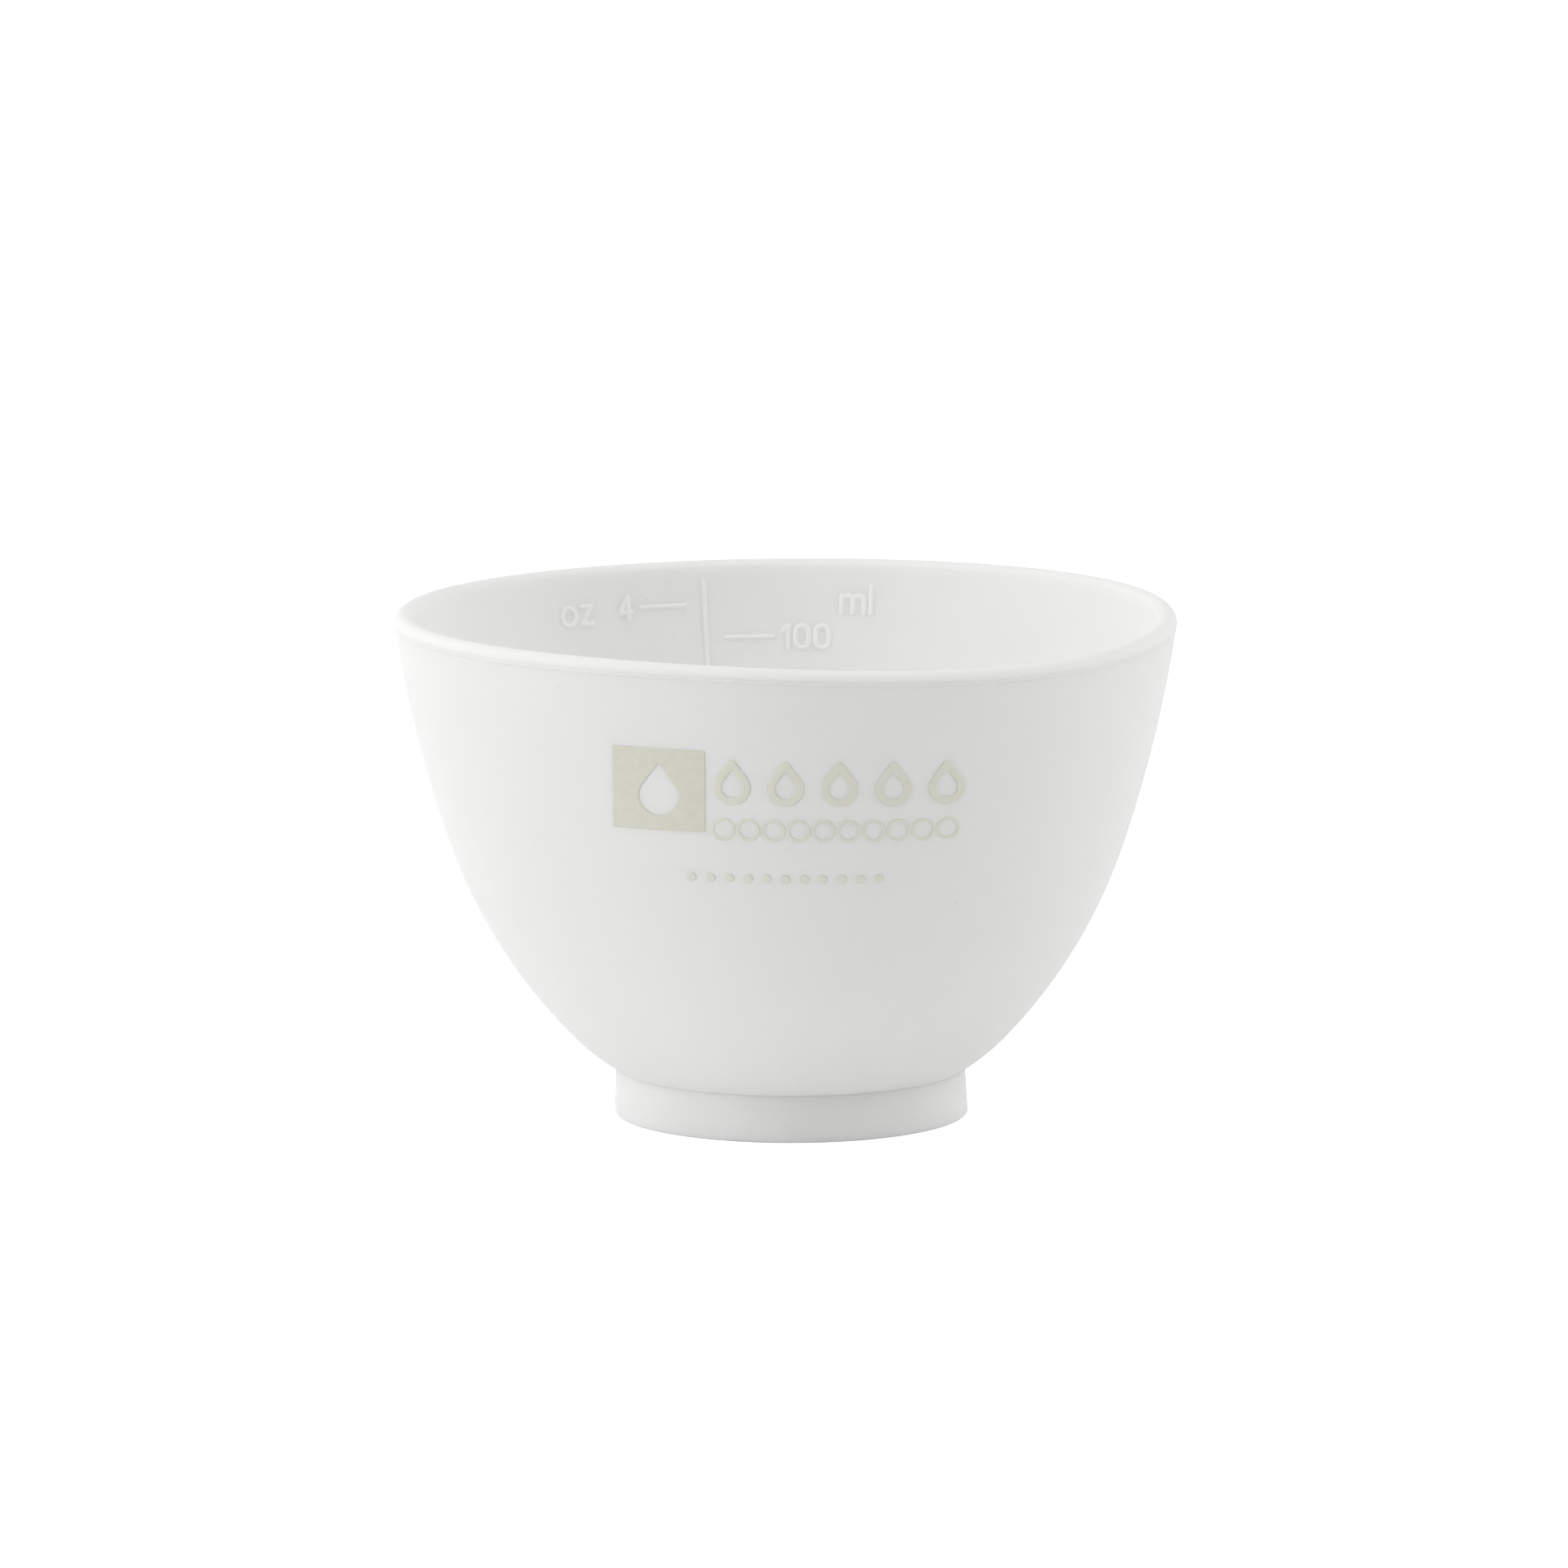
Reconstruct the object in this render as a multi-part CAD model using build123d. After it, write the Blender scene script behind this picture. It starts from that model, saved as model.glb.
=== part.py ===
from build123d import *
import math
import os

# Small flexible mixing bowl for hair colour, moulded in white silicone.
#
# A round shell with a full-round lip stands on a foot ring. A measuring scale stands proud of the
# inner wall: millilitres on one side of an upright divider, fluid ounces on the other. A pale
# decoration is printed on the front of the outer wall.
#
# Millimetres and degrees, +Z up. The origin is the centre of the foot's resting face, and the
# printed front faces -Y. Each sub-part is written to parts/NAME.step.

# ---- Driving dimensions -----------------------------------------------------------------------------

# Shell
rim_radius = 38.9  # outside of the lip
bowl_height = 50.2  # from the resting face to the top of the lip
wall = 2.0  # thickness of wall and floor
underside_height = 1.6  # of the floor's underside above the resting face
lower_arc = 21.4  # outside radii of the wall's three tangent arcs, from the floor up
middle_arc = 51.4
upper_arc = 122.0
lower_lean = 44.3  # lean of the wall from upright where the lower arc meets the middle one
upper_lean = 19.1  # lean where the middle arc meets the upper one

# Parting line of the mould, round the outside of the wall
parting_drop = 0.18  # down the wall, from the lower end of the lip's rounding to its middle
parting_width = 0.36
parting_relief = 0.1

# Foot ring
foot_radius = 17.65  # outside, at the resting face
foot_flare = 2.2  # lean of its outside, inwards going up
foot_thickness = 3.0
foot_rounding = 0.2  # of the outer bottom edge

# Raised measuring scale
relief = 0.15  # height of the marks above the wall
stroke = 0.42  # width of every raised line
scale_azimuth = 103.1  # of the divider, from +X towards +Y
divider_end_gap = 1.9  # from the top of the lip down to the divider's upper end
divider_tail = 3.0  # reach of the divider below the lowest bar
bar_gap = 1.9  # from the divider's centre line to the near end of a bar
bar_length = 5.2
figure_gap = 0.6  # from a bar's far end to its figures
glyph_gap = 0.3  # between two figures or letters
figure_width = 1.35  # between the centre lines of strokes, as are the sizes below
figure_height = 2.2
letter_height = 1.75
letter_ascender = 2.7
name_end_gap = 4.5  # from the top of the lip down to the middle of the millilitre name
oz_name_drop = 0.2  # of the ounce name below it
ml_name_offset = 15.6  # from the divider to the middle of each unit name, along the wall
oz_name_offset = 14.4
mark_end_gap = 4.0  # least distance from the top of the lip down to a bar
ml_volumes = (25, 50, 75, 100)
oz_volumes = (1, 2, 3, 4)
ml_per_oz = 28.41  # imperial fluid ounce

# Printed decoration. Offsets are to the right of its middle plane.
ink = 0.1  # thickness of the printed film
print_azimuth = -90.0
block_width = 9.0
block_height = 8.2
block_offset = -12.3  # of its middle
block_level = 37.8  # of its middle, above the resting face
open_drop_height = 5.2  # of the drop left open in the block
drop_height = 4.8
drop_fatness = 0.74  # width of a drop as a share of its height
drop_line = 0.75  # line width of the drops in the row
drop_count = 5
drop_pitch = 5.2
drop_offset = 5.2  # of the middle of the row
drop_level = 36.6  # of the drops' round ends
ring_radius = 1.15
ring_line = 0.3
ring_count = 10
ring_pitch = 2.42
ring_offset = 4.8
ring_level = 34.1
dot_radius = 0.45
dot_count = 11
dot_pitch = 1.82
dot_offset = -0.1
dot_level = 29.1

# ---- Profile of the wall ----------------------------------------------------------------------------
# A section point is (distance from the axis, height). Where the wall leans t from upright, its
# outward normal is (cos t, -sin t). Every surface of the wall is an offset of the outer one: depth
# is how far it lies inside the outer surface, and its arcs keep the same centres.

lip_radius = wall / 2


def moved(point, lean, distance):
    angle = math.radians(lean)
    return point[0] + distance * math.cos(angle), point[1] - distance * math.sin(angle)


def arc_centres(floor_radius):
    """Centres of the lower, middle and upper arcs, for a floor that is flat out to this radius."""
    lower = (floor_radius, underside_height + lower_arc)
    middle = moved(lower, lower_lean, lower_arc - middle_arc)
    upper = moved(middle, upper_lean, middle_arc - upper_arc)
    return lower, middle, upper


# The lip's height sets the lean of the wall there, and the rim's radius sets the flat of the floor.
lip_centre = (rim_radius - lip_radius, bowl_height - lip_radius)
upper_centre_height = arc_centres(0)[2][1]
lip_lean = math.degrees(math.asin((upper_centre_height - lip_centre[1]) / (upper_arc - lip_radius)))
lip_reach = moved(arc_centres(0)[2], lip_lean, upper_arc - lip_radius)[0]
floor_radius = lip_centre[0] - lip_reach
lower_centre, middle_centre, upper_centre = arc_centres(floor_radius)

# Centre, radius of the outer surface, lean at the lower end and lean at the upper end
wall_arcs = (
    (lower_centre, lower_arc, 90.0, lower_lean),
    (middle_centre, middle_arc, lower_lean, upper_lean),
    (upper_centre, upper_arc, upper_lean, lip_lean),
)


def wall_radius(height, depth):
    """Distance from the axis of the surface at this depth, at this height."""
    for centre, radius, low_lean, high_lean in wall_arcs:
        if height <= moved(centre, high_lean, radius - depth)[1]:
            break
    rise = centre[1] - height
    return centre[0] + math.sqrt((radius - depth) ** 2 - rise**2)


def volume_below(height):
    """Millilitres that the bowl holds up to this height, by Simpson's rule."""
    steps = 60
    bottom = underside_height + wall
    slice_height = (height - bottom) / steps
    total = 0.0
    for step in range(steps + 1):
        weight = 1 if step in (0, steps) else 2 + 2 * (step % 2)
        radius = wall_radius(bottom + step * slice_height, wall)
        total += weight * math.pi * radius**2
    return total * slice_height / 3 / 1000


def height_of(volume):
    """Height of the surface of this many millilitres, or None where that is over the top mark."""
    low = underside_height + wall
    high = bowl_height - mark_end_gap
    if volume_below(high) < volume:
        return None
    while high - low > 0.001:
        middle = (low + high) / 2
        if volume_below(middle) < volume:
            low = middle
        else:
            high = middle
    return low


# ---- Solids of revolution ---------------------------------------------------------------------------


def in_plane(point):
    return point[0], 0.0, point[1]


def straight(start, end):
    return Line(in_plane(start), in_plane(end))


def bend(centre, radius, start_lean, end_lean):
    """Arc about a centre, between two leans of its normal."""
    leans = (start_lean, (start_lean + end_lean) / 2, end_lean)
    return ThreePointArc(*[in_plane(moved(centre, lean, radius)) for lean in leans])


def floor_end(depth):
    return floor_radius, underside_height + depth


def wall_end(depth):
    return moved(upper_centre, lip_lean, upper_arc - depth)


def wall_curve(depth):
    return [bend(centre, radius - depth, low, high) for centre, radius, low, high in wall_arcs]


def turned(outline):
    return revolve(make_face(outline), Axis.Z)


def skin(outer_depth, inner_depth):
    """The wall between two depths, from the edge of the flat floor to the lip."""
    return turned(
        [
            straight(floor_end(inner_depth), floor_end(outer_depth)),
            *wall_curve(outer_depth),
            straight(wall_end(outer_depth), wall_end(inner_depth)),
            *wall_curve(inner_depth),
        ]
    )


# ---- Bowl shell -------------------------------------------------------------------------------------
# Floor, wall and full-round lip, all of one thickness.


def bowl_shell():
    floor_bottom = (0.0, underside_height)
    floor_top = (0.0, underside_height + wall)
    return turned(
        [
            straight(floor_bottom, floor_end(0)),
            *wall_curve(0),
            bend(lip_centre, lip_radius, lip_lean, lip_lean - 180),
            *wall_curve(wall),
            straight(floor_end(wall), floor_top),
            straight(floor_top, floor_bottom),
        ]
    )


# ---- Rim parting line -------------------------------------------------------------------------------
# A fine bead round the wall, right under the rounding of the lip, where the halves of the mould meet.


def rim_parting_line():
    middle = lip_lean + math.degrees(parting_drop / upper_arc)
    half_angle = math.degrees(parting_width / 2 / upper_arc)
    low = moved(upper_centre, middle + half_angle, upper_arc)
    high = moved(upper_centre, middle - half_angle, upper_arc)
    crest = moved(upper_centre, middle, upper_arc + parting_relief)
    return turned(
        [
            ThreePointArc(in_plane(low), in_plane(crest), in_plane(high)),
            bend(upper_centre, upper_arc, middle - half_angle, middle + half_angle),
        ]
    )


# ---- Foot ring --------------------------------------------------------------------------------------
# A plain ring that leans in slightly. Its top follows the underside of the shell.


def foot_ring():
    inner_radius = foot_radius - foot_thickness
    blank_height = lower_centre[1]
    top_radius = foot_radius - blank_height * math.tan(math.radians(foot_flare))
    corners = (
        (inner_radius, 0.0),
        (foot_radius, 0.0),
        (top_radius, blank_height),
        (inner_radius, blank_height),
    )
    ring = revolve(make_face(Polyline(*[in_plane(corner) for corner in corners], close=True)), Axis.Z)
    outer_edge = ring.edges().group_by(Axis.Z)[0].sort_by(SortBy.RADIUS)[-1]
    ring = fillet(outer_edge, foot_rounding)
    bowl_space = turned(
        [
            straight((0.0, underside_height), floor_end(0)),
            *wall_curve(0),
            straight(wall_end(0), (0.0, wall_end(0)[1])),
            straight((0.0, wall_end(0)[1]), (0.0, underside_height)),
        ]
    )
    return ring - bowl_space


# ---- Drawings on the wall ---------------------------------------------------------------------------

INSIDE = -1
OUTSIDE = 1


def pressed(drawing, side, azimuth, height, wall_skin):
    """A drawing laid into a skin of the wall, upright as seen from that side of the wall."""
    across = math.cos(math.radians(azimuth))
    back = math.sin(math.radians(azimuth))
    facing = Plane(
        origin=(0, 0, height),
        x_dir=(-side * back, side * across, 0),
        z_dir=(side * across, side * back, 0),
    )
    column = extrude(facing * drawing, amount=side * 2 * rim_radius)
    return (column & wall_skin).solids()


# ---- Raised measuring scale -------------------------------------------------------------------------
# Bars, figures and unit names are drawn with one stroke width and stand proud of the inner wall.
# Distances along the wall count from the divider, and are positive to the right of someone who
# looks at it from inside.


def segments(*points):
    return [Line(start, end) for start, end in zip(points, points[1:])]


def pen(lines):
    """Strokes along lines and arcs, with round ends."""
    drawing = Sketch()
    for line in lines:
        drawing += trace(line, line_width=stroke)
        for end in (0, 1):
            drawing += Pos(*(line @ end)) * Circle(stroke / 2)
    return drawing


def figure_lines():
    """The strokes of each digit, from its lower left corner."""
    wide = figure_width
    high = figure_height
    turn = wide / 2
    upper = (turn, high - turn)
    lower = (turn, turn)
    two = CenterArc(upper, turn, 180, -220)
    three = CenterArc(lower, turn, 90, -235)
    five = CenterArc(lower, turn, 140, -280)
    return {
        "0": [
            CenterArc(upper, turn, 0, 180),
            CenterArc(lower, turn, 180, 180),
            *segments((0, turn), (0, high - turn)),
            *segments((wide, turn), (wide, high - turn)),
        ],
        "1": segments((0.15 * wide, 0.75 * high), (0.55 * wide, high), (0.55 * wide, 0)),
        "2": [two, *segments(two @ 1, (0, 0), (wide, 0))],
        "3": [*segments((0, high), (wide, high), three @ 0), three],
        "4": [
            *segments((0.7 * wide, 0), (0.7 * wide, high), (0, 0.33 * high), (wide, 0.33 * high)),
        ],
        "5": [*segments((wide, high), ((five @ 0).X, high), five @ 0), five],
        "7": segments((0, high), (wide, high), (0.3 * wide, 0)),
    }


def letter_lines():
    """The strokes of the unit names' letters, from their lower left corner."""
    high = letter_height
    arch = high / 3
    round_radius = high / 2
    return {
        "m": [
            *segments((0, 0), (0, high)),
            *segments((2 * arch, 0), (2 * arch, high - arch)),
            *segments((4 * arch, 0), (4 * arch, high - arch)),
            CenterArc((arch, high - arch), arch, 0, 180),
            CenterArc((3 * arch, high - arch), arch, 0, 180),
        ],
        "l": segments((0, 0), (0, letter_ascender)),
        "o": [
            CenterArc((round_radius, round_radius), round_radius, 0, 180),
            CenterArc((round_radius, round_radius), round_radius, 180, 180),
        ],
        "z": segments((0, high), (0.7 * high, high), (0, 0), (0.7 * high, 0)),
    }


def scale_azimuth_at(along, height):
    return scale_azimuth - math.degrees(along / wall_radius(height, wall))


def text_width(text, glyphs):
    widths = [pen(glyphs[glyph]).bounding_box().size.X for glyph in text]
    return sum(widths) + glyph_gap * (len(text) - 1)


def written(text, glyphs, middle, height, base, wall_skin):
    """Raised text, centred at middle along the wall, with its glyphs' origins base above height."""
    solids = []
    start = middle - text_width(text, glyphs) / 2
    for glyph in text:
        drawing = pen(glyphs[glyph])
        box = drawing.bounding_box()
        centred = Pos(-box.center().X, base) * drawing
        azimuth = scale_azimuth_at(start + box.size.X / 2, height)
        solids += pressed(centred, INSIDE, azimuth, height, wall_skin)
        start += box.size.X + glyph_gap
    return solids


def scale_mark(text, side, height, wall_skin):
    """A bar and its figures on one side of the divider."""
    bar_middle = side * (bar_gap + bar_length / 2)
    text_middle = side * (bar_gap + bar_length + figure_gap + text_width(text, figures) / 2)
    bar = Rectangle(bar_length, stroke)
    solids = pressed(bar, INSIDE, scale_azimuth_at(bar_middle, height), height, wall_skin)
    return solids + written(text, figures, text_middle, height, -figure_height / 2, wall_skin)


def scale_parts():
    """Every raised sub-part by name. A volume too near the lip has no mark."""
    wall_skin = skin(wall, wall + relief)
    solids = {}
    levels = []
    for unit, side, volumes, ml_per_unit in (("ml", 1, ml_volumes, 1), ("oz", -1, oz_volumes, ml_per_oz)):
        for volume in volumes:
            level = height_of(volume * ml_per_unit)
            if level is not None:
                levels.append(level)
                solids[f"{unit}_mark_{volume}"] = scale_mark(str(volume), side, level, wall_skin)
    name_height = bowl_height - name_end_gap
    names = (("ml", ml_name_offset, name_height), ("oz", -oz_name_offset, name_height - oz_name_drop))
    for name, middle, height in names:
        solids[f"{name}_name"] = written(name, letters, middle, height, -letter_height / 2, wall_skin)
    top = bowl_height - divider_end_gap
    bottom = min(levels) - divider_tail
    divider = Rectangle(stroke, top - bottom)
    middle_height = (top + bottom) / 2
    solids["scale_divider"] = pressed(divider, INSIDE, scale_azimuth, middle_height, wall_skin)
    return solids


figures = figure_lines()
letters = letter_lines()

# ---- Printed decoration -----------------------------------------------------------------------------
# A block with a drop left open in it, beside a row of open drops over a row of rings and a row of
# dots, in one thin film on the outer wall. A flat pad lays it on straight from the front.


def teardrop(radius, tip_sine):
    """A circle about the origin drawn out to a tip above it, with straight tangent sides."""
    tip_cosine = math.sqrt(1 - tip_sine**2)
    tip = (0, radius / tip_sine)
    right = (radius * tip_cosine, radius * tip_sine)
    left = (-right[0], right[1])
    return make_face([Line(tip, right), ThreePointArc(right, (0, -radius), left), Line(left, tip)])


def drop_shape(height):
    """Radius of a drop's round end, and the sine of half the angle at its tip."""
    radius = drop_fatness * height / 2
    return radius, radius / (height - radius)


def spread(count, pitch, offset):
    """Places of a row centred at the offset."""
    return [offset + (index - (count - 1) / 2) * pitch for index in range(count)]


def printed(drawing, places, height, film):
    """The drawing printed at each of the places."""
    solids = []
    for place in places:
        solids += pressed(Pos(place, 0) * drawing, OUTSIDE, print_azimuth, height, film)
    return solids


def print_parts():
    film = skin(-ink, 0)
    radius, tip_sine = drop_shape(open_drop_height)
    opening = Pos(0, radius - open_drop_height / 2) * teardrop(radius, tip_sine)
    block = Rectangle(block_width, block_height) - opening
    radius, tip_sine = drop_shape(drop_height)
    drop = teardrop(radius, tip_sine) - teardrop(radius - drop_line, tip_sine)
    ring = Circle(ring_radius) - Circle(ring_radius - ring_line)
    drop_places = spread(drop_count, drop_pitch, drop_offset)
    return {
        "printed_block": printed(block, [block_offset], block_level, film),
        "printed_drops": printed(drop, drop_places, drop_level + radius, film),
        "printed_rings": printed(ring, spread(ring_count, ring_pitch, ring_offset), ring_level, film),
        "printed_dots": printed(Circle(dot_radius), spread(dot_count, dot_pitch, dot_offset), dot_level, film),
    }


# ---- Sub-parts --------------------------------------------------------------------------------------

sub_parts = {
    "bowl_shell": [bowl_shell()],
    "rim_parting_line": [rim_parting_line()],
    "foot_ring": [foot_ring()],
    **scale_parts(),
    **print_parts(),
}

os.makedirs("parts", exist_ok=True)
for name, solids in sub_parts.items():
    export_step(Compound(solids), f"parts/{name}.step")
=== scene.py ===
import math

import bpy
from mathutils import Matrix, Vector, noise


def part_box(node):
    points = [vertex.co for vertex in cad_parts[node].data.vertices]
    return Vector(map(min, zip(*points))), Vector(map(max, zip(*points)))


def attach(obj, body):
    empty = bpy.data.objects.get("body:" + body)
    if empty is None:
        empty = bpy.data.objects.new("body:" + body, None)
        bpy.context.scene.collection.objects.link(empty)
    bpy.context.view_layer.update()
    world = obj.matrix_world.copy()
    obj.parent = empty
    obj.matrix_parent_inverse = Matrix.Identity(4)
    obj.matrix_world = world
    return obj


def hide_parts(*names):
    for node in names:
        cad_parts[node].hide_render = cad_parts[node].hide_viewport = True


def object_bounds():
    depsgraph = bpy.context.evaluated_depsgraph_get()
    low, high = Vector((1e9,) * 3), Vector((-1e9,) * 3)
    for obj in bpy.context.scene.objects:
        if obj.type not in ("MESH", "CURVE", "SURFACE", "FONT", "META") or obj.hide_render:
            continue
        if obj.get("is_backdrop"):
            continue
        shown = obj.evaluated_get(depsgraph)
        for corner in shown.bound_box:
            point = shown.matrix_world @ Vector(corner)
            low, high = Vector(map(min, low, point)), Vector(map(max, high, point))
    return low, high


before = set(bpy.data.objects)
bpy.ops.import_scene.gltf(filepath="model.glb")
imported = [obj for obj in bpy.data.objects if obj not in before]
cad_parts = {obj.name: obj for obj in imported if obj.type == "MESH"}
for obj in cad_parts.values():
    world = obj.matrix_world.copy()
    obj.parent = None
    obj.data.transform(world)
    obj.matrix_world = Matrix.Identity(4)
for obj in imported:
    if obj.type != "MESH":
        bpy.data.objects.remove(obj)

cad_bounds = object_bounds()

# ---- Bowl shell -------------------------------------------------------------------------------------
# The bowl itself: floor, wall and full-round lip in one thickness of soft white silicone, compression
# moulded between two steel halves. Three tangent arcs make the wall, from the flat floor to the lip.

MM = 0.001
shell_low, shell_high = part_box("bowl_shell")
rim_radius = shell_high[0]
bowl_height = shell_high[2]
underside_height = shell_low[2]
wall = 2.0 * MM
lip_radius = wall / 2
lower_arc = 21.4 * MM
middle_arc = 51.4 * MM
upper_arc = 122.0 * MM
lower_lean = math.radians(44.3)  # of the wall from upright, where two arcs meet
upper_lean = math.radians(19.1)


def moved(point, lean, distance):
    """A point of the bowl's section, moved outwards along the normal of a wall that leans so."""
    return point[0] + distance * math.cos(lean), point[1] - distance * math.sin(lean)


def arc_centres(floor_radius):
    """Centres of the wall's arcs, for a floor that is flat out to this radius."""
    lower = (floor_radius, underside_height + lower_arc)
    middle = moved(lower, lower_lean, lower_arc - middle_arc)
    upper = moved(middle, upper_lean, middle_arc - upper_arc)
    return lower, middle, upper


lip_centre = (rim_radius - lip_radius, bowl_height - lip_radius)
lip_lean = math.asin((arc_centres(0)[2][1] - lip_centre[1]) / (upper_arc - lip_radius))
floor_radius = lip_centre[0] - moved(arc_centres(0)[2], lip_lean, upper_arc - lip_radius)[0]
lower_centre, middle_centre, upper_centre = arc_centres(floor_radius)
wall_arcs = (
    (lower_centre, lower_arc, math.pi / 2, lower_lean),
    (middle_centre, middle_arc, lower_lean, upper_lean),
    (upper_centre, upper_arc, upper_lean, lip_lean),
)


def wall_radius(height, depth):
    """Distance from the axis, at this height, of the surface this deep inside the outer one."""
    for centre, radius, _, high_lean in wall_arcs:
        if height <= moved(centre, high_lean, radius - depth)[1]:
            break
    return centre[0] + math.sqrt((radius - depth) ** 2 - (centre[1] - height) ** 2)


# How crooked the soft bowl stands, in mm: how far its rim rises, the waves along it as cosine and sine
# of 1 to 4 turns, and how far it leans to one side, straight and bent.
rim_rise = 0.20
rim_wave = ((-0.13, 0.21), (0.09, 0.40), (0.14, 0.14), (0.05, -0.02))
straight_lean = 0.58
bent_lean = 0.55


def settled(point):
    """Where a point of the perfect bowl lies in this soft one, which stands a little crooked."""
    x, y, z = point
    share = max(0.0, z / bowl_height)
    turn = math.atan2(y, x)
    wave = rim_rise
    for turns, (cosine, sine) in enumerate(rim_wave, 1):
        wave += cosine * math.cos(turns * turn) + sine * math.sin(turns * turn)
    away = min(1.0, math.hypot(x, y) / rim_radius)
    lean = straight_lean * share + bent_lean * share * (1 - share)
    return x - lean * MM, y, z + wave * MM * share**2 * away


def bend(centre, radius, start, end, steps):
    """Points of a section along an arc about a centre, without the last."""
    leans = [start + (end - start) * step / steps for step in range(steps)]
    return [moved(centre, lean, radius) for lean in leans]


def wall_points(depth, step):
    """Points of a section up the wall, about a step apart, this deep inside the outer surface."""
    points = []
    for centre, radius, low_lean, high_lean in wall_arcs:
        steps = round(radius * (low_lean - high_lean) / step)
        points += bend(centre, radius - depth, low_lean, high_lean, steps)
    return points


def mesh_piece(name, points, faces, material):
    """A piece from the points of the perfect bowl, which settles with it."""
    mesh = bpy.data.meshes.new(name)
    mesh.from_pydata([settled(point) for point in points], [], faces)
    mesh.polygons.foreach_set("use_smooth", [True] * len(faces))
    mesh.materials.append(material)
    piece = bpy.data.objects.new(name, mesh)
    bpy.context.scene.collection.objects.link(piece)
    return piece


def turned(name, section, material, segments=360, swell=None):
    """A closed section of (radius, height) points turned about the axis. Ends on the axis close."""
    points = []
    rings = []
    for index, (radius, height) in enumerate(section):
        first = len(points)
        if radius < 0.001 * MM:
            points.append((0.0, 0.0, height))
            rings.append([first] * segments)
            continue
        for segment in range(segments):
            angle = 2 * math.pi * segment / segments
            reach = radius + (swell(index, angle) if swell else 0.0)
            points.append((reach * math.cos(angle), reach * math.sin(angle), height))
        rings.append(list(range(first, first + segments)))
    faces = []
    for index, ring in enumerate(rings):
        above = rings[(index + 1) % len(rings)]
        for segment in range(segments):
            beyond = (segment + 1) % segments
            corners = [ring[segment], ring[beyond], above[beyond], above[segment]]
            corners = list(dict.fromkeys(corners))
            if len(corners) > 2:
                faces.append(corners)
    return mesh_piece(name, points, faces, material)


def linear(hex_colour):
    """An sRGB hex colour as the linear RGBA that Blender's shaders take."""
    channels = [int(hex_colour[place : place + 2], 16) / 255 for place in (1, 3, 5)]
    return [c / 12.92 if c <= 0.04045 else ((c + 0.055) / 1.055) ** 2.4 for c in channels] + [1.0]


def add(material, kind, sockets=None, **settings):
    """Adds a shader node. A socket's value may be another node's output, which is then linked."""
    tree = material.node_tree
    node = tree.nodes.new(kind)
    for setting, value in settings.items():
        setattr(node, setting, value)
    for socket, value in (sockets or {}).items():
        if isinstance(value, bpy.types.NodeSocket):
            tree.links.new(value, node.inputs[socket])
        else:
            node.inputs[socket].default_value = value
    return node


def new_material(name):
    """A material with no shader nodes yet."""
    material = bpy.data.materials.new(name)
    material.use_nodes = True
    material.node_tree.nodes.clear()
    return material


def mixed(material, share, first, second):
    """The colour between two, each a socket or a hex colour, at this share of the second."""
    node = add(material, "ShaderNodeMix", {"Factor": share}, data_type="RGBA")
    # The sockets called "A" and "B" are its numbers first, so its colours are set by their places.
    for place, colour in ((6, first), (7, second)):
        if isinstance(colour, str):
            node.inputs[place].default_value = linear(colour)
        else:
            material.node_tree.links.new(colour, node.inputs[place])
    return node.outputs[2]


def between(material, value, low, high, at_low=0.0, at_high=1.0):
    """A value mapped so that low becomes at_low and high becomes at_high, and held within them."""
    limits = {"From Min": low, "From Max": high, "To Min": at_low, "To Max": at_high}
    return add(material, "ShaderNodeMapRange", {"Value": value, **limits}).outputs["Result"]


silicone_ior = 1.41
sink_depth = 1.2 * MM
sink_tint = (1.0, 0.98, 0.94)  # red light sinks in the deepest
cloud_width = 9 * MM  # of patches where the white is a shade greyer
dust_spacing = 5 * MM
speck_reach = (0.020, 0.032)  # of a speck's middle and of its soft edge, as shares of the spacing
dust_grey = "#8A8A84"
dust_cover = 0.16


def moulded_silicone(name, colours, grain_size, grain_depth, roughness, sinking=0.35):
    """Platinum silicone as it leaves a steel mould, which gives it a satin skin.

    It lets light sink in by about a millimetre, so its shadows are soft, and it holds on to dust.
    """
    material = new_material(name)
    place = add(material, "ShaderNodeTexCoord").outputs["Object"]
    cloud = add(material, "ShaderNodeTexNoise", {"Vector": place, "Scale": 1 / cloud_width, "Detail": 2.0})
    dust = add(material, "ShaderNodeTexVoronoi", {"Vector": place, "Scale": 1 / dust_spacing}, feature="F1")
    dusty = between(material, dust.outputs["Distance"], *speck_reach, dust_cover, 0.0)
    colour = mixed(material, cloud.outputs["Fac"], *colours)
    grain = add(material, "ShaderNodeTexNoise", {"Vector": place, "Scale": 1 / grain_size, "Detail": 3.0})
    bump = add(material, "ShaderNodeBump", {"Height": grain.outputs["Fac"], "Distance": grain_depth})
    skin = add(
        material,
        "ShaderNodeBsdfPrincipled",
        {
            "Base Color": mixed(material, dusty, colour, dust_grey),
            "Normal": bump.outputs["Normal"],
            "Roughness": roughness,
            "IOR": silicone_ior,
            "Subsurface Weight": sinking,
            "Subsurface Radius": sink_tint,
            "Subsurface Scale": sink_depth,
        },
    )
    add(material, "ShaderNodeOutputMaterial", {"Surface": skin.outputs["BSDF"]})
    return material


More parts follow.
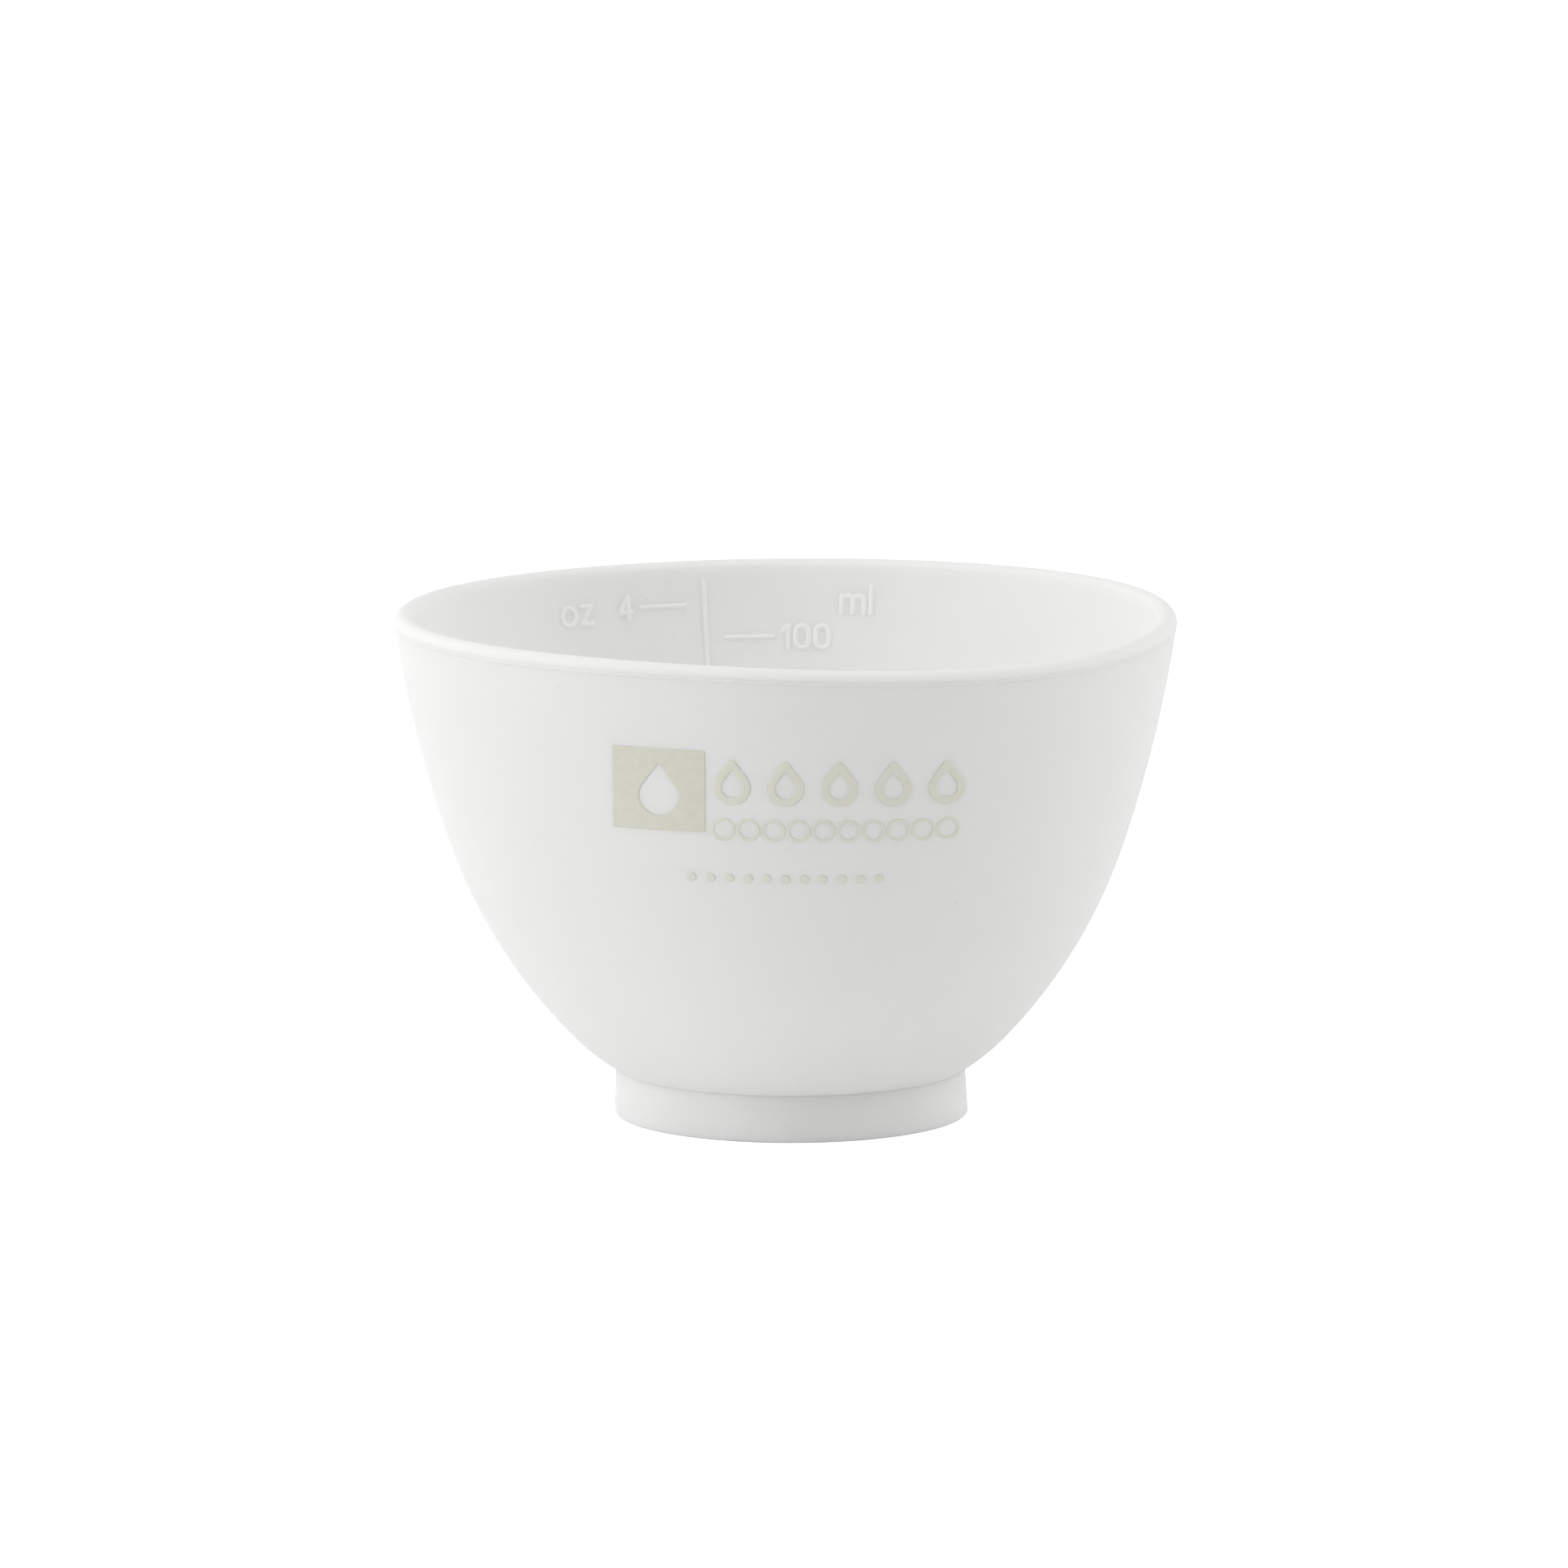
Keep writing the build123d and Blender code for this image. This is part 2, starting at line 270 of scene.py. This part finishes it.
satin_white = ("#F4F4F2", "#F2F2F0")
satin_grain = (0.35 * MM, 0.004 * MM)  # how coarse and how deep
satin_roughness = 0.72
silicone = moulded_silicone("moulded_silicone_satin", satin_white, *satin_grain, satin_roughness)
wall_step = 0.5 * MM  # of the mesh up the wall
lip_steps = 20
floor_steps = 6
floor_radii = [floor_radius * step / floor_steps for step in range(1, floor_steps)]
floor_top = underside_height + wall
shell_section = [
    (0.0, underside_height),
    *[(radius, underside_height) for radius in floor_radii],
    *wall_points(0, wall_step),
    *bend(lip_centre, lip_radius, lip_lean, lip_lean - math.pi, lip_steps),
    *reversed(wall_points(wall, wall_step)),
    *[(radius, floor_top) for radius in reversed(floor_radii)],
    (0.0, floor_top),
]
shell = turned("bowl_wall_and_lip", shell_section, silicone)
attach(shell, "root")
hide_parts("bowl_shell")

# ---- Foot ring --------------------------------------------------------------------------------------
# The ring that the bowl stands on, moulded with it. Its part of the mould was blasted coarser than
# the rest, so it looks greyer and grainy, and it leans in a little towards its top.

foot_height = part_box("foot_ring")[1][2]
foot_radius = 17.65 * MM
foot_thickness = 3.0 * MM
foot_flare = math.radians(2.2)
foot_rounding = 0.2 * MM
foot_root = foot_height + 0.3 * MM  # the ring runs on into the wall
foot_inside = foot_radius - foot_thickness
foot_grey = ("#F8F8F7", "#F1F1F0")
foot_grain = (0.28 * MM, 0.035 * MM)
foot_roughness = 0.85
foot_silicone = moulded_silicone("moulded_silicone_blasted", foot_grey, *foot_grain, foot_roughness)


def straight(start, end, steps):
    """Points of a section along a straight line, without the last."""
    return [tuple(a + (b - a) * step / steps for a, b in zip(start, end)) for step in range(steps)]


foot_top = (foot_radius - foot_root * math.tan(foot_flare), foot_root)
foot_side = (foot_radius, foot_rounding)
foot_section = [
    *bend((foot_radius - foot_rounding, foot_rounding), foot_rounding, math.pi / 2, 0.0, 8),
    *straight(foot_side, foot_top, 10),
    *straight(foot_top, (foot_inside, foot_root), 6),
    *straight((foot_inside, foot_root), (foot_inside, foot_rounding), 10),
    *straight((foot_inside, foot_rounding), (foot_inside + foot_rounding, 0.0), 3),
    *straight((foot_inside + foot_rounding, 0.0), (foot_radius - foot_rounding, 0.0), 6),
]
foot = turned("foot_ring_blasted", foot_section, foot_silicone)
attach(foot, "root")
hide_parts("foot_ring")

# ---- Rim parting line -------------------------------------------------------------------------------
# Where the halves of the mould met, right under the rounding of the lip, a hair of silicone crept
# between them. It was trimmed by hand, so the fine line left there is uneven and torn in places.

parting_drop = 0.15 * MM  # down the wall, from the lower end of the lip's rounding to its middle
parting_half_width = 0.12 * MM
parting_relief = 0.045 * MM
parting_middle = lip_lean + parting_drop / upper_arc
parting_segments = 720
even_share = 0.8  # of the relief, where the line is neither high nor low
wobbles = ((0.45, 1.7 * MM), (0.35, 6.0 * MM))  # shares of the relief, and over what length they change
torn_places = ((260.9, 0.7), (274.7, 0.5), (280.9, 1.0), (301.7, 1.8))  # degrees round, and how badly
tear = ((1.4, 0.5, 0.06), (-1.0, -0.2, 0.12))  # a flap and a notch: share, place in mm, squared width


def parting_swell(index, angle):
    """How far the line stands out here: uneven all along, with a flap and a notch where it tore."""
    along = Vector((math.cos(angle), math.sin(angle), 0.0)) * rim_radius
    crest = even_share
    for share, length in wobbles:
        crest += share * noise.noise(along / length)
    for degrees, harm in torn_places:
        away = (math.degrees(angle) - degrees) * rim_radius * math.pi / 180 / MM
        crest += harm * sum(share * math.exp(-((away - place) ** 2) / width) for share, place, width in tear)
    return parting_relief * crest * parting_shares[index]


parting_steps = 6
parting_shares = [math.sin(math.pi * step / parting_steps) for step in range(parting_steps + 1)]
parting_reach = parting_half_width / upper_arc
parting_low = parting_middle + parting_reach
parting_high = parting_middle - parting_reach
parting_section = bend(upper_centre, upper_arc, parting_low, parting_high, parting_steps)
parting_section.append(moved(upper_centre, parting_high, upper_arc))
buried = 0.1 * MM  # depth of the line's back in the wall
parting_section += [
    (parting_section[-1][0] - buried, parting_section[-1][1]),
    (parting_section[0][0] - buried, parting_section[0][1]),
]
parting_shares += [0.0, 0.0]
# A line this fine is thinner than light sinks into the rest, so its material scatters at the surface.
fine_silicone = moulded_silicone(
    "moulded_silicone_fine_ridge", satin_white, *satin_grain, satin_roughness, sinking=0.0
)
parting = turned("rim_parting_line", parting_section, fine_silicone, parting_segments, parting_swell)
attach(parting, "root")
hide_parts("rim_parting_line")

# ---- Raised measuring scale -------------------------------------------------------------------------
# Bars, figures and unit names stand proud of the inner wall, because they were cut into the core of
# the mould with one round-nosed cutter. So each is a soft ridge that runs into the wall.

relief = 0.08 * MM
stroke = 0.42 * MM  # width of a line
scale_azimuth = math.radians(103.1)
bar_gap = 1.9 * MM
bar_length = 5.2 * MM
figure_gap = 0.6 * MM
glyph_gap = 0.3 * MM
figure_width = 1.35 * MM
figure_height = 2.2 * MM
letter_height = 1.75 * MM
letter_ascender = 2.7 * MM
ml_name_offset = 15.6 * MM
oz_name_offset = 14.4 * MM
ridge_reach = 0.33 * MM  # from a ridge's centre line to where it meets the wall
ridge_crown = 0.07 * MM  # half of the flat along its top
ridge_dip = 0.01 * MM  # of a ridge's edge below the wall's surface, so that no gap shows
rooted = 0.15 * MM  # depth that a ridge goes on below the wall's surface
ridge_cell = 0.062 * MM  # of the mesh over a ridge


def arc(centre, radius, start, sweep, steps=14):
    """A line of points along an arc, in degrees."""
    angles = [math.radians(start + sweep * step / steps) for step in range(steps + 1)]
    return [(centre[0] + radius * math.cos(a), centre[1] + radius * math.sin(a)) for a in angles]


def figure_lines():
    """Centre lines of the figures."""
    wide = figure_width
    high = figure_height
    turn = wide / 2
    upper = (turn, high - turn)
    lower = (turn, turn)
    two = arc(upper, turn, 180, -220)
    three = arc(lower, turn, 90, -235)
    five = arc(lower, turn, 140, -280)
    return {
        "0": [[*arc(upper, turn, 0, 180), *arc(lower, turn, 180, 180), (wide, high - turn)]],
        "1": [[(0.15 * wide, 0.75 * high), (0.55 * wide, high), (0.55 * wide, 0)]],
        "2": [[*two, (0, 0), (wide, 0)]],
        "3": [[(0, high), (wide, high), *three]],
        "4": [[(0.7 * wide, 0), (0.7 * wide, high), (0, 0.33 * high), (wide, 0.33 * high)]],
        "5": [[(wide, high), (five[0][0], high), *five]],
        "7": [[(0, high), (wide, high), (0.3 * wide, 0)]],
    }


def letter_lines():
    """Centre lines of the small letters of the unit names."""
    high = letter_height
    arch = high / 3
    return {
        "m": [
            [(0, 0), (0, high)],
            [*arc((arch, high - arch), arch, 180, -180), (2 * arch, 0)],
            [*arc((3 * arch, high - arch), arch, 180, -180), (4 * arch, 0)],
        ],
        "l": [[(0, 0), (0, letter_ascender)]],
        "o": [arc((high / 2, high / 2), high / 2, 0, 360, 28)],
        "z": [[(0, high), (0.7 * high, high), (0, 0), (0.7 * high, 0)]],
    }


figures = figure_lines()
letters = letter_lines()


class Filled(list):
    """Closed outlines that are filled between, where other drawings are lines only."""


def nearest(point, lines):
    """Distance from a point to the nearest of some lines, negative where they are filled."""
    x, y = point
    best = math.inf
    inside = False
    for line in lines:
        for (x0, y0), (x1, y1) in zip(line, line[1:]):
            run = x1 - x0
            rise = y1 - y0
            share = ((x - x0) * run + (y - y0) * rise) / (run * run + rise * rise)
            share = min(1.0, max(0.0, share))
            best = min(best, math.hypot(x - x0 - share * run, y - y0 - share * rise))
            if isinstance(lines, Filled) and (y0 > y) != (y1 > y) and x < x0 + run * (y - y0) / rise:
                inside = not inside
    return -best if inside else best


def to_edge(point, lines, reach):
    """The point on the edge of the drawing that lies nearest to one beside it."""
    for _ in range(3):
        x, y = point
        step = 0.01 * MM
        slope_x = (nearest((x + step, y), lines) - nearest((x - step, y), lines)) / (2 * step)
        slope_y = (nearest((x, y + step), lines) - nearest((x, y - step), lines)) / (2 * step)
        short = reach - nearest(point, lines)
        point = (x + slope_x * short, y + slope_y * short)
    return point


def drawn(lines, reach, cell):
    """Points, quads and outer edges of a sheet that covers all within reach of the lines."""
    left = min(x for line in lines for x, _ in line) - reach - cell
    right = max(x for line in lines for x, _ in line) + reach + cell
    low = min(y for line in lines for _, y in line) - reach - cell
    high = max(y for line in lines for _, y in line) + reach + cell
    columns = math.ceil((right - left) / cell)
    rows = math.ceil((high - low) / cell)
    places = {
        (column, row): (left + column * cell, low + row * cell)
        for column in range(columns + 1)
        for row in range(rows + 1)
    }
    away = {key: nearest(place, lines) for key, place in places.items()}
    order = {}
    quads = []
    for column in range(columns):
        for row in range(rows):
            corners = [(column, row), (column + 1, row), (column + 1, row + 1), (column, row + 1)]
            if max(away[corner] for corner in corners) < reach + cell / 2:
                quads.append([order.setdefault(corner, len(order)) for corner in corners])
    sides = {}
    for quad in quads:
        for start, end in zip(quad, quad[1:] + quad[:1]):
            if sides.pop((end, start), None) is None:
                sides[(start, end)] = True
    rim = {index for side in sides for index in side}
    points = [
        to_edge(places[key], lines, reach) if index in rim else places[key]
        for key, index in order.items()
    ]
    return points, quads, list(sides)


INSIDE = -1
OUTSIDE = 1


def on_wall(point, side, azimuth, level, depth):
    """A point of a drawing, (right, up), laid on the wall as seen from one side of it."""
    height = level + point[1]
    radius = wall_radius(height, depth)
    angle = azimuth + side * math.asin(point[0] / radius)
    return radius * math.cos(angle), radius * math.sin(angle), height


def wall_piece(name, drawings, side, reach, cell, top_depth, root_depth, material):
    """One closed piece from drawings, each (lines, azimuth, level), laid on one side of the wall."""
    points = []
    tops = []
    backs = []
    for lines, azimuth, level in drawings:
        flat, quads, edges = drawn(lines, reach, cell)
        first = len(points)
        below = first + len(flat)
        for point in flat:
            points.append(on_wall(point, side, azimuth, level, top_depth(nearest(point, lines))))
        for point in flat:
            points.append(on_wall(point, side, azimuth, level, root_depth))
        tops += [[first + index for index in quad] for quad in quads]
        backs += [[below + index for index in reversed(quad)] for quad in quads]
        backs += [[below + a, below + b, first + b, first + a] for a, b in edges]
    piece = mesh_piece(name, points, tops + backs, material)
    smooth = [True] * len(tops) + [False] * len(backs)
    piece.data.polygons.foreach_set("use_smooth", smooth)
    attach(piece, "root")
    return piece


def ridge_depth(away):
    """Depth under the outer wall of a ridge's surface, at this distance from its centre line."""
    share = min(1.0, max(0.0, (away - ridge_crown) / (ridge_reach - ridge_crown)))
    fall = (1 - math.cos(math.pi * share)) / 2
    return wall + relief * (1 - fall) - ridge_dip


def glyph_span(lines):
    """Left and right ends of a glyph's centre lines."""
    across = [x for line in lines for x, _ in line]
    return min(across), max(across)


def text_width(text, glyphs):
    """Width of a text from the left edge of its first line to the right edge of its last."""
    spans = [glyph_span(glyphs[glyph]) for glyph in text]
    return sum(right - left + stroke for left, right in spans) + glyph_gap * (len(text) - 1)


def written(text, glyphs, middle, baseline, radius):
    """Drawings of a text centred at middle along the wall, counted to the right of the divider."""
    start = middle - text_width(text, glyphs) / 2
    drawings = []
    for glyph in text:
        left, right = glyph_span(glyphs[glyph])
        width = right - left + stroke
        centred = [[(x - (left + right) / 2, y) for x, y in line] for line in glyphs[glyph]]
        drawings.append((centred, scale_azimuth - (start + width / 2) / radius, baseline))
        start += width + glyph_gap
    return drawings


# The lines were cut after the core was blasted, so they came out smoother. Their white, a little paler than
# the wall's, is painted sheen: it stands in for the light that their smoother faces catch.
ridge_white_painted_sheen = ("#F9F9F7", "#F7F7F5")
cut_roughness = 0.6
painted_sheen_ridge_silicone = moulded_silicone(
    "moulded_silicone_cut_line_painted_sheen", ridge_white_painted_sheen, *satin_grain, cut_roughness, sinking=0.0
)


def raised(name, node, drawings):
    """A piece of the scale, cut into the core of the mould, in place of this node."""
    root = wall - rooted
    piece = wall_piece(name, drawings, INSIDE, ridge_reach, ridge_cell, ridge_depth, root, painted_sheen_ridge_silicone)
    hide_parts(node)


half_bar = bar_length / 2 - stroke / 2
for unit, side, volumes in (("ml", 1, (25, 50, 75, 100)), ("oz", -1, (1, 2, 3, 4))):
    for volume in volumes:
        node = f"{unit}_mark_{volume}"
        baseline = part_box(node)[0][2] + stroke / 2
        level = baseline + figure_height / 2
        radius = wall_radius(level, wall)
        bar_middle = side * (bar_gap + bar_length / 2)
        text = str(volume)
        text_middle = side * (bar_gap + bar_length + figure_gap + text_width(text, figures) / 2)
        bar = ([[(-half_bar, 0), (half_bar, 0)]], scale_azimuth - bar_middle / radius, level)
        figures_drawn = written(text, figures, text_middle, baseline, radius)
        raised(f"raised_mark_{volume}_{unit}", node, [bar, *figures_drawn])
for unit, middle in (("ml", ml_name_offset), ("oz", -oz_name_offset)):
    node = f"{unit}_name"
    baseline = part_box(node)[0][2] + stroke / 2
    radius = wall_radius(baseline + letter_height / 2, wall)
    raised(f"raised_name_{unit}", node, written(unit, letters, middle, baseline, radius))
divider_low, divider_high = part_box("scale_divider")
divider_line = [[(0, divider_low[2] + stroke / 2), (0, divider_high[2] - stroke / 2)]]
raised("raised_divider", "scale_divider", [(divider_line, scale_azimuth, 0.0)])

# ---- Printed decoration -----------------------------------------------------------------------------
# A block with a drop left open in it, a row of open drops, a row of rings and a row of dots, printed
# straight from the front in one pass of pale khaki silicone ink. The film is thin, matt and a bit
# uneven, and the finer the drawing, the less ink it got.

print_azimuth = -math.pi / 2
film = 0.02 * MM  # stands out from the wall
film_root = 0.05 * MM  # goes on below its surface
film_cell = 0.11 * MM  # of the mesh over the film
fine_film_cell = 0.07 * MM
block_width = 9.0 * MM
block_height = 8.2 * MM
block_offset = -12.3 * MM  # of its middle, to the right of the print's middle plane
open_drop_height = 5.2 * MM
drop_height = 4.8 * MM
drop_fatness = 0.74  # width of a drop as a share of its height
drop_line = 0.75 * MM
drop_places = (5, 5.2 * MM, 5.2 * MM)  # how many, how far apart, and where the row's middle is
ring_radius = 1.15 * MM
ring_line = 0.3 * MM
ring_places = (10, 2.42 * MM, 4.8 * MM)
dot_radius = 0.45 * MM
dot_places = (11, 1.82 * MM, -0.1 * MM)
ink_roughness = 0.55
mottle_width = 0.8 * MM
mottle_depth = 0.01 * MM
mottle_range = (0.35, 0.7)  # of the pattern, where one of the ink's two colours turns into the other


def pad_printed_ink(name, colours):
    """Silicone ink as a soft printing pad leaves it, matt and slightly mottled."""
    material = new_material(name)
    place = add(material, "ShaderNodeTexCoord").outputs["Object"]
    mottle = add(material, "ShaderNodeTexNoise", {"Vector": place, "Scale": 1 / mottle_width, "Detail": 4.0})
    density = mottle.outputs["Fac"]
    bump = add(material, "ShaderNodeBump", {"Height": density, "Distance": mottle_depth})
    skin = add(
        material,
        "ShaderNodeBsdfPrincipled",
        {
            "Base Color": mixed(material, between(material, density, *mottle_range), *colours),
            "Normal": bump.outputs["Normal"],
            "Roughness": ink_roughness,
            "IOR": silicone_ior,
        },
    )
    add(material, "ShaderNodeOutputMaterial", {"Surface": skin.outputs["BSDF"]})
    return material


solid_ink = pad_printed_ink("pad_printed_ink_khaki_solid", ("#DEDDCF", "#E2E2D5"))
line_ink = pad_printed_ink("pad_printed_ink_khaki_lines", ("#E5E5D7", "#E8E8DB"))
fine_ink = pad_printed_ink("pad_printed_ink_khaki_fine_lines", ("#E7E7DC", "#E9E9DE"))


def shifted(lines, right):
    """A drawing moved to the right, still filled if it was."""
    return type(lines)([(x + right, y) for x, y in line] for line in lines)


def printed(name, node, lines, reach, level, places, ink, cell=film_cell):
    """A film of ink from one motif, laid at each of these places on the outer wall."""
    drawings = [(shifted(lines, place), print_azimuth, level) for place in places]
    piece = wall_piece(name, drawings, OUTSIDE, reach, cell, lambda away: -film, film_root, ink)
    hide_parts(node)


def spread(count, pitch, middle):
    """Places of a row of motifs."""
    return [middle + (index - (count - 1) / 2) * pitch for index in range(count)]


def teardrop(height, inset):
    """The outline of a drop of this height, drawn this far inside its edge, and its round end's radius."""
    radius = drop_fatness * height / 2
    tip_sine = radius / (height - radius)
    lean = math.degrees(math.asin(tip_sine))
    tip = (0, (radius - inset) / tip_sine)
    return [tip, *arc((0, 0), radius - inset, lean, -180 - 2 * lean, 40), tip], radius


block_low, block_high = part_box("printed_block")
right = block_width / 2
top = block_height / 2
edge = [(-right, -top), (right, -top), (right, top), (-right, top), (-right, -top)]
outline, radius = teardrop(open_drop_height, 0)
opening = [(x, y + radius - open_drop_height / 2) for x, y in outline]
block = Filled([edge, opening])
level = (block_low[2] + block_high[2]) / 2
printed("printed_block_khaki", "printed_block", block, 0, level, [block_offset], solid_ink)

outline, radius = teardrop(drop_height, drop_line / 2)
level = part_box("printed_drops")[0][2] + radius
places = spread(*drop_places)
printed("printed_drops_khaki", "printed_drops", [outline], drop_line / 2, level, places, line_ink)

ring = arc((0, 0), ring_radius - ring_line / 2, 0, 360, 32)
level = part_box("printed_rings")[0][2] + ring_radius
places = spread(*ring_places)
reach = ring_line / 2
printed("printed_rings_khaki", "printed_rings", [ring], reach, level, places, fine_ink, fine_film_cell)

speck = 0.01 * MM  # a dot is a very short line
dot = [(-speck, 0), (speck, 0)]
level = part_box("printed_dots")[0][2] + dot_radius
places = spread(*dot_places)
printed("printed_dots_khaki", "printed_dots", [dot], dot_radius, level, places, fine_ink)

# ---- Stage, light and camera ------------------------------------------------------------------------
# A sweep of white paper under soft boxes, stronger on the left. The camera, mirrors and glass see
# white all round, and that white lights nothing. A long lens looks slightly down on the front.

floor_mesh = bpy.data.meshes.new("floor")
floor_reach = 6.0
floor_corners = [(x * floor_reach, y * floor_reach, 0) for x, y in ((-1, -1), (1, -1), (1, 1), (-1, 1))]
floor_mesh.from_pydata(floor_corners, [], [(0, 1, 2, 3)])
floor = bpy.data.objects.new("floor", floor_mesh)
floor.location.z = -0.02 * MM  # so that it never lies in the plane of the foot
bpy.context.scene.collection.objects.link(floor)
floor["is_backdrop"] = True


def seen_white(owner, strength):
    """A white glow that only the camera, mirrors and glass see, and that lights nothing."""
    rays = add(owner, "ShaderNodeLightPath").outputs
    seen = rays["Is Camera Ray"]
    for ray in ("Is Glossy Ray", "Is Transmission Ray"):
        seen = add(owner, "ShaderNodeMath", {0: seen, 1: rays[ray]}, operation="MAXIMUM").outputs[0]
    return add(owner, "ShaderNodeMath", {0: seen, 1: strength}, operation="MULTIPLY").outputs[0]


paper_white = "#F6F6F6"
paper_glow = 0.86  # with the light on it, this makes the paper as white as the picture gets
paper = new_material("white_paper_sweep")
matt = add(paper, "ShaderNodeBsdfDiffuse", {"Color": linear(paper_white)})
glow = add(paper, "ShaderNodeEmission", {"Strength": seen_white(paper, paper_glow)})
both = add(paper, "ShaderNodeAddShader", {0: matt.outputs[0], 1: glow.outputs[0]})
add(paper, "ShaderNodeOutputMaterial", {"Surface": both.outputs[0]})
floor_mesh.materials.append(paper)

world = bpy.data.worlds.new("studio")
bpy.context.scene.world = world
world.use_nodes = True
world.node_tree.nodes.clear()
sky = add(world, "ShaderNodeBackground", {"Strength": seen_white(world, 1.0)})
add(world, "ShaderNodeOutputWorld", {"Surface": sky.outputs[0]})


def softbox(name, turn, lift, watts, side=0.7, distance=0.95):
    """A square lamp aimed at the bowl, so many degrees round from the front and up."""
    light = bpy.data.lights.new(name, "AREA")
    light.size = side
    light.energy = watts
    lamp = bpy.data.objects.new(name, light)
    away = Vector((
        math.cos(math.radians(lift)) * math.sin(math.radians(turn)),
        -math.cos(math.radians(lift)) * math.cos(math.radians(turn)),
        math.sin(math.radians(lift)),
    ))
    lamp.location = Vector((0, 0, bowl_height / 2)) + distance * away
    lamp.rotation_euler = away.to_track_quat("Z", "Y").to_euler()
    bpy.context.scene.collection.objects.link(lamp)


softbox("left_low", -75, 5, 0.6)
softbox("left_front", -62, 22, 3.2)
softbox("left", -100, 18, 0.48)
softbox("left_high", -90, 50, 2.17)
softbox("left_back", -140, 22, 2.0)
softbox("front_high", 0, 68, 2.5)
softbox("right_front", 40, 30, 1.35)
softbox("right_high", 70, 50, 1.18)
softbox("right", 100, 22, 2.69)
softbox("right_back", 140, 22, 1.4)

camera_data = bpy.data.cameras.new("camera")
camera = bpy.data.objects.new("camera", camera_data)
bpy.context.scene.collection.objects.link(camera)
camera_data.sensor_width = 36.0
camera_data.lens = 279.5
camera_target = Vector((-0.73 * MM, 0, 33.05 * MM))
camera_lift = math.radians(9.07)
camera_distance = 1.212
camera.location = camera_target + camera_distance * Vector((0, -math.cos(camera_lift), math.sin(camera_lift)))
camera.rotation_euler = (math.pi / 2 - camera_lift, 0, 0)
bpy.context.scene.camera = camera
bpy.context.scene.view_settings.view_transform = "Standard"

sizes = {"cad": cad_bounds, "visual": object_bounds()}
sizes = {model: [list(corner) for corner in corners] for model, corners in sizes.items()}
